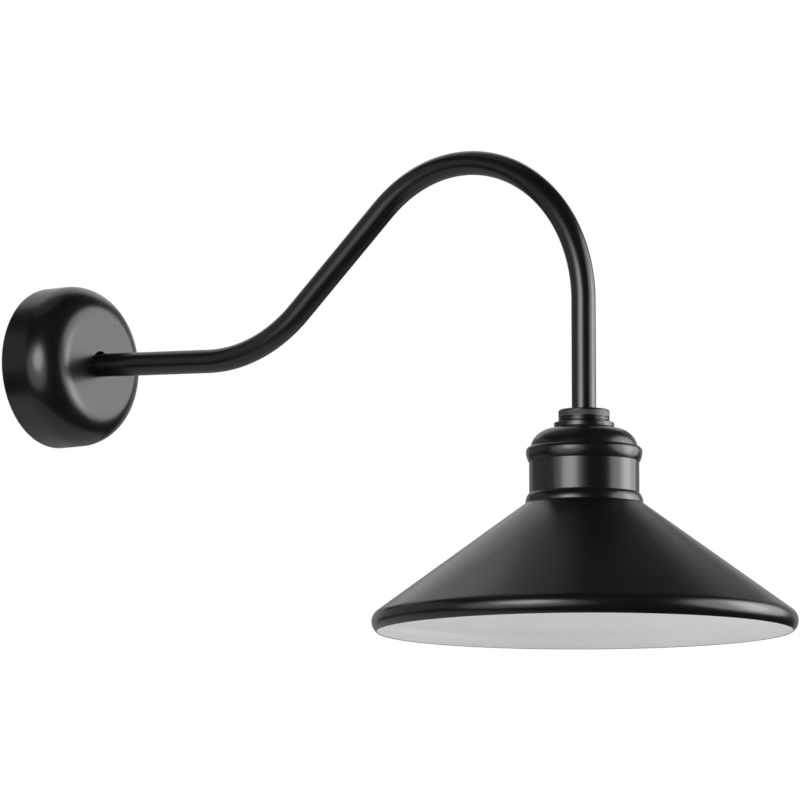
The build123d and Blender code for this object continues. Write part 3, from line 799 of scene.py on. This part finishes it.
reach = -AXIS_Y / MM
arm_low, arm_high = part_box("gooseneck_arm")
arm_foot = -arm_high[1] / MM
dip_r = DIP_LENGTH / DIP
bends_out = LOW_BEND_R * (sin(RAMP) + sin(DIP)) + RAMP_LENGTH * cos(RAMP) + TOP_BEND_R * (sin(RAMP) + 1)
run = (reach - bends_out - DIP_START - dip_r * sin(DIP)) / cos(DIP)
arm_path = bent_path(arm_foot, 0.0, 0.0, [
    (DIP_START - arm_foot, 0), (dip_r, -DIP), (run, 0), (LOW_BEND_R, RAMP + DIP), (RAMP_LENGTH, 0),
    (TOP_BEND_R, -RAMP - pi / 2),
])
arm_path.append(Vector((arm_path[-1].x, arm_low[2] / MM)))
length = sum((b - a).length for a, b in zip(arm_path, arm_path[1:]))
print("arm tube", round(length), "mm along its middle,", len(arm_path), "points")

# %% Arm tube
WELD = 0.001  # millimetres; points nearer than this are one


def tube_tree():
    """A tube along a path of edges, closed at both ends."""
    tree, given = new_tree(
        "tube_along_path", Path="Geometry", Radius="Float", Wall="Float", Sides="Int", Finish="Material",
    )
    path = add(tree, "GeometryNodeMeshToCurve", {"Mesh": given["Path"]})
    circle = add(
        tree, "GeometryNodeCurvePrimitiveCircle", {"Resolution": given["Sides"], "Radius": given["Radius"]},
    )
    skin = add(
        tree, "GeometryNodeCurveToMesh", {"Curve": path.outputs[0], "Profile Curve": circle.outputs[0]},
    )
    inwards = add(tree, "ShaderNodeMath", {0: given["Wall"], 1: -1.0}, operation="MULTIPLY")
    bore = add(
        tree, "GeometryNodeExtrudeMesh",
        {"Mesh": skin.outputs[0], "Offset Scale": inwards.outputs[0], "Individual": False},
    )
    turned = add(tree, "GeometryNodeFlipFaces", {"Mesh": bore.outputs[0]})
    both = add(tree, "GeometryNodeJoinGeometry", {0: skin.outputs[0]})
    tree.links.new(turned.outputs[0], both.inputs[0])
    closed = add(tree, "GeometryNodeMergeByDistance", {"Geometry": both.outputs[0], "Distance": WELD * MM})
    return end_tree(tree, closed.outputs[0], given["Finish"])


TUBE_R = 9.5
TUBE_WALL = 1.5
arm = new_piece("gooseneck_arm_tube", bpy.data.meshes.new("gooseneck_arm_tube"))
arm.data.from_pydata(
    [(0, -point.x * MM, point.y * MM) for point in arm_path],
    [(i, i + 1) for i in range(len(arm_path) - 1)], [],
)
run_tree(arm, tube_tree(), Radius=TUBE_R * MM, Wall=TUBE_WALL * MM, Sides=72, Finish=BLACK)
outwards(arm.data)
smooth(arm.data)
print("arm skin", len(arm.data.polygons), "faces")

# %% Wire hole
# The leads leave the tube through a slot under its foot, inside the canopy.
HOLE_OUT = 25.0
HOLE_R = 4.5
HOLE_STRETCH = 1.4  # across the tube
CUTTER_LENGTH = 4 * TUBE_R
CUTTER_DROP = 2.6 * TUBE_R  # its upper end stops inside the bore
hole = bar(HOLE_R * MM, CUTTER_LENGTH * MM, (0, -HOLE_OUT * MM, -CUTTER_DROP * MM))
hole.data.transform(Matrix.Diagonal((HOLE_STRETCH, 1.0, 1.0, 1.0)))
drilled(arm, hole)
stands_for(arm, "gooseneck_arm")

# %% [markdown]
# ## Metals
# The hidden hardware is stamped and turned steel with bright zinc plate, which is pale and slightly blue
# with cloudy patches. The lamp's shell is nickel plated brass, the contact and terminals are bare brass
# that has begun to dull, the ground screw is zinc dyed green, and the canopy's set screws are black oxide.
# One recipe serves them all: two tones in patches, a roughness that follows them, and a fine grain left by
# the tools. Such surfaces are a little milky, so they are three parts metal and one part paint-like.

# %% Metal finishes
METAL_SHARE = 0.75


def plated(name, dark, light, rough, patch, grain):
    """A metal surface in two tones, with patches and a grain of these sizes in millimetres."""
    finish, tree, place = new_finish(name)
    cloud = noise(tree, place, patch, detail=3.0)
    surface(tree, {
        "Base Color": two_tone(tree, cloud, dark, light),
        "Metallic": METAL_SHARE,
        "Roughness": ranged(tree, cloud, rough * 1.25, rough * 0.8),
        "Normal": relief(tree, noise(tree, place, grain), 0.25, 0.02),
    })
    return finish


ZINC = plated("bright_zinc_plate", "#a9afb5", "#c9cccd", 0.32, patch=7, grain=0.5)
NICKEL = plated("nickel_plated_brass", "#b5ab92", "#cdc6b2", 0.24, patch=9, grain=0.4)
BRASS = plated("bare_brass", "#b08b45", "#d2b06a", 0.3, patch=3, grain=0.4)
GREEN = plated("green_dyed_zinc", "#1f6a37", "#2f8a4a", 0.36, patch=2, grain=0.4)
OXIDE = plated("black_oxide_steel", "#1c1c1e", "#2a2a2b", 0.4, patch=2, grain=0.3)
print("metals:", ZINC.name, NICKEL.name, BRASS.name, GREEN.name, OXIDE.name)

# %% [markdown]
# ## Rubber, nylon, sleeves and porcelain
# The gaskets are black rubber. Both take the finish of closed-cell foam, whose cut cells show as fine pits.
# The terminal block is moulded nylon with a spark-eroded grain. The leads wear woven glass sleeves: two
# sets of threads cross at right angles, drawn as two sets of bands. The socket is porcelain under a clear
# glaze, with the few small iron specks that fired clay has.

# %% Other finishes
CELL = 0.9
SLEEVE_THREAD = 0.7
WAVE_PERIOD = 0.314  # a wave texture of scale 1 repeats after this many units


def foam_rubber():
    """Dull black with fine pits, painted darker at their bottoms as shade."""
    finish, tree, place = new_finish("closed_cell_foam_rubber")
    cells = add(tree, "ShaderNodeTexVoronoi", {"Vector": place, "Scale": 1 / (CELL * MM)})
    pits = cells.outputs["Distance"]
    # The colour follows the pits: darker at their bottoms, a painted shade.
    surface(tree, {
        "Base Color": two_tone(tree, pits, "#131313", "#262626"),
        "Roughness": 0.85,
        "Normal": relief(tree, pits, 0.5, 0.2),
    })
    return finish


def moulded_nylon():
    """Warm white with a fine matt grain."""
    finish, tree, place = new_finish("moulded_nylon")
    surface(tree, {
        "Base Color": two_tone(tree, noise(tree, place, 6), "#ddd5ba", "#ebe5d0"),
        "Roughness": 0.45,
        "Normal": relief(tree, noise(tree, place, 0.4), 0.3, 0.03),
    })
    return finish


def woven_sleeve(name, shaded_gap, thread):
    """Crossed threads, with the gaps between them darker as painted shade."""
    finish, tree, place = new_finish(name)
    crossing = []
    for lean in (45, -45):
        leant = add(tree, "ShaderNodeMapping", {"Vector": place, "Rotation": (radians(lean), 0, 0)})
        bands = add(
            tree, "ShaderNodeTexWave",
            {"Vector": leant.outputs[0], "Scale": WAVE_PERIOD / (SLEEVE_THREAD * MM)}, bands_direction="Z",
        )
        crossing.append(bands.outputs[1])
    weave = add(tree, "ShaderNodeMath", {0: crossing[0], 1: crossing[1]}, operation="MAXIMUM").outputs[0]
    # The gaps between the threads take the darker colour: a painted shade.
    surface(tree, {
        "Base Color": two_tone(tree, weave, shaded_gap, thread),
        "Roughness": 0.7,
        "Normal": relief(tree, weave, 0.6, 0.1),
    })
    return finish


def glazed_porcelain():
    """Creamy white under a clear glaze, with a few small brown specks."""
    finish, tree, place = new_finish("glazed_porcelain")
    body = noise(tree, place, 14)
    clay = two_tone(tree, body, "#ebe7dc", "#f3f0e8")
    specks = add(tree, "ShaderNodeMapRange", {
        "Value": noise(tree, place, 1.1, detail=1.0),
        "From Min": 0.72, "From Max": 0.82, "To Min": 0.0, "To Max": 0.6,
    })
    tone = add(
        tree, "ShaderNodeMix", {0: specks.outputs[0], 6: clay, 7: linear("#8a7a62")}, data_type="RGBA",
    )
    surface(tree, {
        "Base Color": tone.outputs[2],
        "Roughness": 0.3,
        "Coat Weight": 1.0,
        "Coat Roughness": 0.06,
        "Normal": relief(tree, body, 0.2, 0.3),
    })
    return finish


FOAM = foam_rubber()
NYLON = moulded_nylon()
BLACK_SLEEVE = woven_sleeve("black_woven_sleeve", "#0b0b0b", "#2b2b2c")
WHITE_SLEEVE = woven_sleeve("white_woven_sleeve", "#a9a59a", "#e9e6dd")
PORCELAIN = glazed_porcelain()
print("other finishes:", FOAM.name, NYLON.name, BLACK_SLEEVE.name, PORCELAIN.name)

# %% [markdown]
# ## Screw threads
# The lamp's shell is thin sheet with a thread rolled through it, so the same wave shows inside and outside,
# and the nipples at both ends of the arm have finer threads cut on their outside. A thread is a ridge that
# climbs one pitch a turn: each point of the swept section moves in by a wave of its height and its angle.

# %% Threads
def rolled_thread(pitch, depth, low, high, beyond=0.0):
    """How a thread changes a radius, between two heights and only beyond a radius."""
    def radius_at(radius, height, angle):
        if radius < beyond or not low < height < high:
            return radius
        return radius - depth * (0.5 + 0.5 * cos(tau * height / pitch - angle))
    return radius_at


def wall(radius, top, foot, step):
    """Points down a straight wall, close enough together for a thread."""
    count = ceil((top - foot) / step)
    return [Vector((radius, top + (foot - top) * i / count)) for i in range(count + 1)]


def heights(box):
    """The foot and the top of a box, in millimetres above the lip of the shade."""
    low, high = box
    return (low[2] - LIP_Z) / MM, (high[2] - LIP_Z) / MM


# %% Lamp shell
SHELL_R = 14.1
SHELL_HOLE_R = 9.0
SHELL_ROUND = 0.8
SHELL_SHEET = 0.4
SHELL_PITCH = 3.63
SHELL_THREAD_DEPTH = 0.45
SHELL_STEP = 0.3
COLLAR = 1.5  # plain wall under the shell's top
PLAIN_TOP = 2.5  # the thread ends this far below the top
PLAIN_FOOT = 1.0

shell_foot, shell_top = heights(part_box("screw_shell"))
shell_line = eased(
    (SHELL_HOLE_R, shell_top, 0),
    (SHELL_R, shell_top, SHELL_ROUND),
    (SHELL_R, shell_top - COLLAR, 0),
)
shell_line += wall(SHELL_R, shell_top - COLLAR - SHELL_STEP, shell_foot, SHELL_STEP)
shell_thread = rolled_thread(
    SHELL_PITCH, SHELL_THREAD_DEPTH, shell_foot + PLAIN_FOOT, shell_top - PLAIN_TOP,
)
shell = lathe(
    "screw_shell_rolled", sheet(shell_line, SHELL_SHEET), over_lip, 96, NICKEL, rolled=shell_thread,
)
stands_for(shell, "screw_shell")

# %% Nipples
NIPPLE_BORE = 5.5
NIPPLE_R = 7.9
NIPPLE_PITCH = 1.5
NIPPLE_THREAD_DEPTH = 0.6
NIPPLE_STEP = NIPPLE_PITCH / 8
PLAIN_END = 0.4


def nipple(node, place, foot, top):
    """A threaded tube between two heights on an axis."""
    section = wall(NIPPLE_R, top, foot, NIPPLE_STEP) + eased((NIPPLE_BORE, foot, 0), (NIPPLE_BORE, top, 0))
    thread = rolled_thread(
        NIPPLE_PITCH, NIPPLE_THREAD_DEPTH, foot + PLAIN_END, top - PLAIN_END, beyond=NIPPLE_BORE + 1,
    )
    stands_for(lathe(node + "_threaded", section, place, 48, ZINC, rolled=thread), node)


low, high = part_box("wall_nipple")
nipple("wall_nipple", off_wall, -high[1] / MM, -low[1] / MM)
nipple("shade_nipple", over_lip, *heights(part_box("shade_nipple")))

# %% [markdown]
# ## Gasket behind the canopy
# A ring die-cut from foam sheet keeps the rain out behind the canopy, which presses its edges slightly
# round. It is turned round the axis square to the wall, like the canopy.

# %% Wall gasket
FOAM_BORE = 56.0
PRESSED = 0.4
BORE_JOIN = 0.7  # height on the bore's wall where the section closes
low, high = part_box("wall_gasket")
foam_r = (high[0] - low[0]) / 2 / MM
foam_section = eased(
    (FOAM_BORE, 0.0, 0),
    (foam_r, 0.0, PRESSED),
    (foam_r, CANOPY_BACK, PRESSED),
    (FOAM_BORE, CANOPY_BACK, PRESSED),
    (FOAM_BORE, BORE_JOIN, 0),
)
stands_for(lathe("wall_gasket_foam", foam_section, off_wall, 128, FOAM), "wall_gasket")

# %% [markdown]
# ## Stamped and moulded hardware
# The plate, nuts, washers, screws, strap, block and socket already have the right shape in the solids. Real
# ones have no razor edges, so each is a copy of its solid with the triangles joined into whole faces and
# a small bevel on every sharp edge, in the size that its trade leaves: fine on screws, wide on glazed clay.
# The normals lean towards the larger faces, so that these look flat right up to their bevels.

# %% Hardware
FLAT = radians(0.5)  # faces that meet flatter than this are one
SHARP = radians(40)  # edges sharper than this get a bevel


def softened(node, edge, finish):
    """A copy of a solid with bevelled edges, in millimetres, and a finish."""
    shell = bmesh.new()
    shell.from_mesh(frame["nodes"][node].data)
    bmesh.ops.remove_doubles(shell, verts=shell.verts, dist=WELD * MM)
    bmesh.ops.dissolve_limit(shell, angle_limit=FLAT, verts=shell.verts, edges=shell.edges)
    mesh = bpy.data.meshes.new(node + "_softened")
    shell.to_mesh(mesh)
    shell.free()
    piece = new_piece(node + "_softened", mesh, finish)
    bevel = piece.modifiers.new("edges", "BEVEL")
    bevel.width = edge * MM
    bevel.segments = 2
    bevel.limit_method = "ANGLE"
    bevel.angle_limit = SHARP
    keep_result(piece, bevel)
    smooth(piece.data)
    flats = piece.modifiers.new("flats", "WEIGHTED_NORMAL")
    flats.keep_sharp = True
    keep_result(piece, flats)
    stands_for(piece, node)


for node, edge, finish in (
    ("mounting_plate", 0.3, ZINC), ("hex_nuts", 0.2, ZINC), ("lock_washers", 0.1, ZINC),
    ("clamp_disc", 0.2, ZINC), ("socket_strap", 0.25, ZINC), ("socket_screws", 0.15, ZINC),
    ("block_screws", 0.1, ZINC), ("ground_screw", 0.15, GREEN), ("canopy_set_screws", 0.1, OXIDE),
    ("terminal_block", 0.3, NYLON), ("socket_body", 0.6, PORCELAIN), ("centre_contact", 0.1, BRASS),
    ("contact_rivet", 0.15, BRASS), ("socket_terminals", 0.15, BRASS),
):
    softened(node, edge, finish)

# %% [markdown]
# ## Leads and cap gasket
# The leads are hidden in the tube except at its two ends, and the cap gasket shows only as a thin dark
# line, so their solids stay and take their finishes.

# %% Finishes on solids that stay
for node, finish in (("hot_lead", BLACK_SLEEVE), ("neutral_lead", WHITE_SLEEVE), ("cap_gasket", FOAM)):
    frame["nodes"][node].material_slots[0].material = finish
    print(node, "takes", finish.name)
